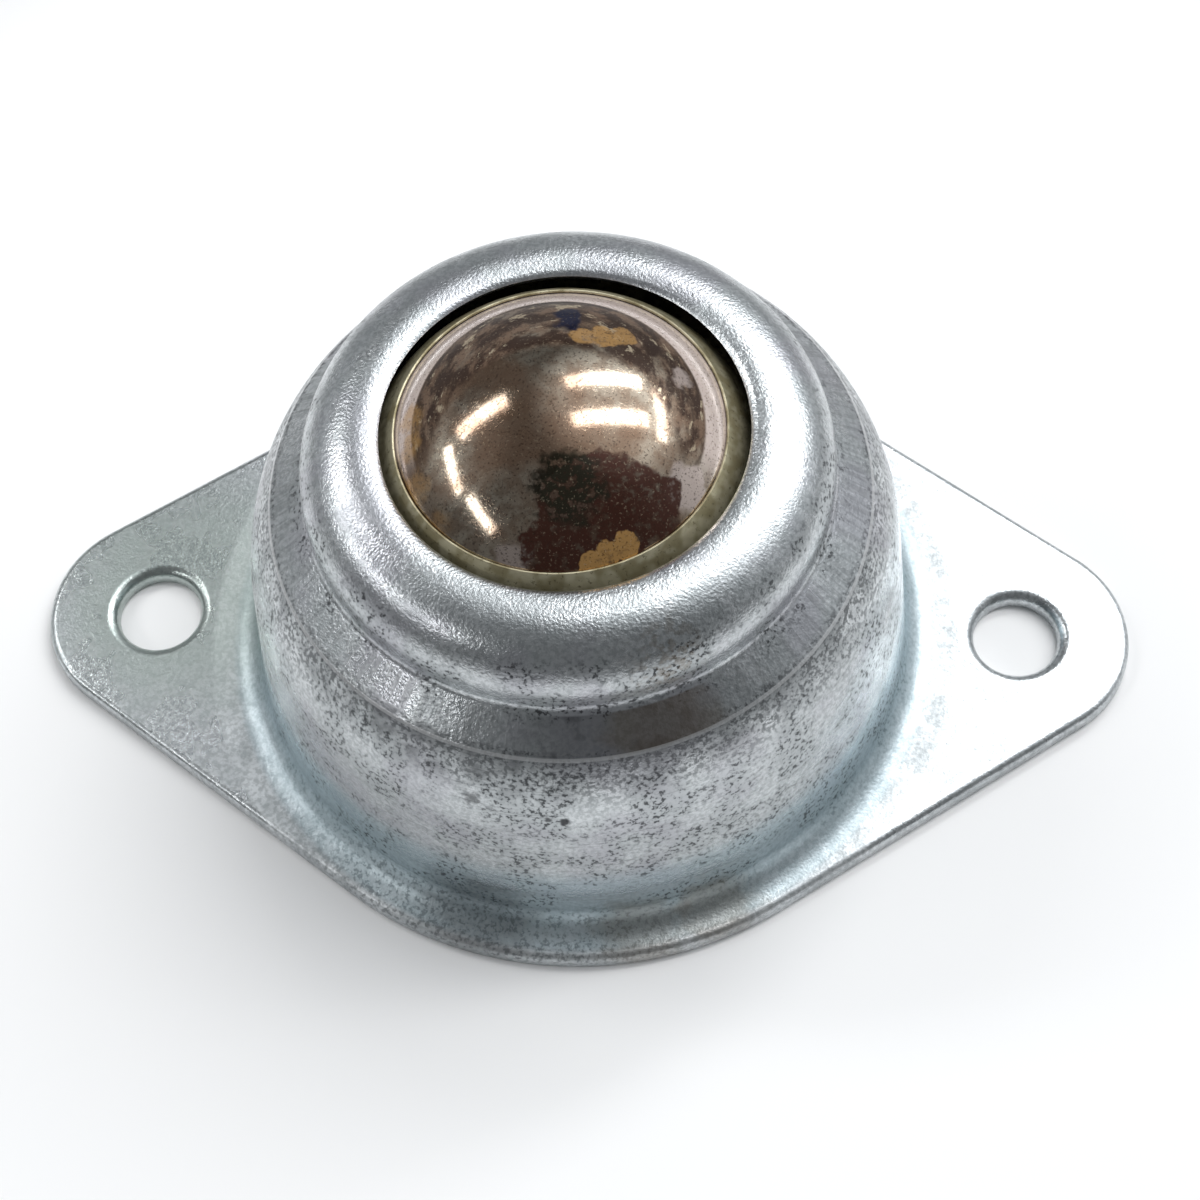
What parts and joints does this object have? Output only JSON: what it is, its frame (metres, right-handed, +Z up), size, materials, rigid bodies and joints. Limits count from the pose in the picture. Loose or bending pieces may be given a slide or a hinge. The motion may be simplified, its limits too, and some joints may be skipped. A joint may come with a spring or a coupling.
{
  "type": "ball castor",
  "caption": "Ball castor: a large steel ball rolls on rings of small balls in a stepped, pressed steel housing with an oval flange and screw holes at its ends.",
  "frame": {"origin": "centre of the flange's underside, the face that is screwed down", "axes": "+Z up through the flange towards the ball, +X along the line of the screw holes"},
  "size_m": [0.073, 0.0482, 0.03],
  "materials": {
    "zinc_plated_steel": "pressed sheet with a satin, faintly crystalline zinc plating",
    "polished_ball_steel": "ground and polished bearing steel with a brown tarnish",
    "retainer_steel": "thin pressed steel with a yellow passivated film",
    "race_steel": "hardened pressed steel, plain grey",
    "bearing_ball_steel": "ground bearing balls"
  },
  "bodies": {
    "housing": {"housing": "zinc_plated_steel", "ball_retainer": "retainer_steel", "ball_race": "race_steel", "closing_ring": "race_steel"},
    "support_balls": {"support_ball_bottom": "bearing_ball_steel", "support_balls_row_1": "bearing_ball_steel", "support_balls_row_2": "bearing_ball_steel", "support_balls_row_3": "bearing_ball_steel", "support_balls_row_4": "bearing_ball_steel", "support_balls_row_5": "bearing_ball_steel", "support_balls_row_6": "bearing_ball_steel"},
    "main_ball": {"main_ball": "polished_ball_steel"}
  },
  "joints": [
    {"name": "ball_turn", "type": "hinge", "parent": "housing", "child": "support_balls", "pos_m": [-0.00025, 0, 0.0173], "axis": [0, 0, 1], "continuous": true},
    {"name": "ball_roll", "type": "hinge", "parent": "support_balls", "child": "main_ball", "pos_m": [-0.00025, 0, 0.0173], "axis": [1, 0, 0], "continuous": true}
  ]
}
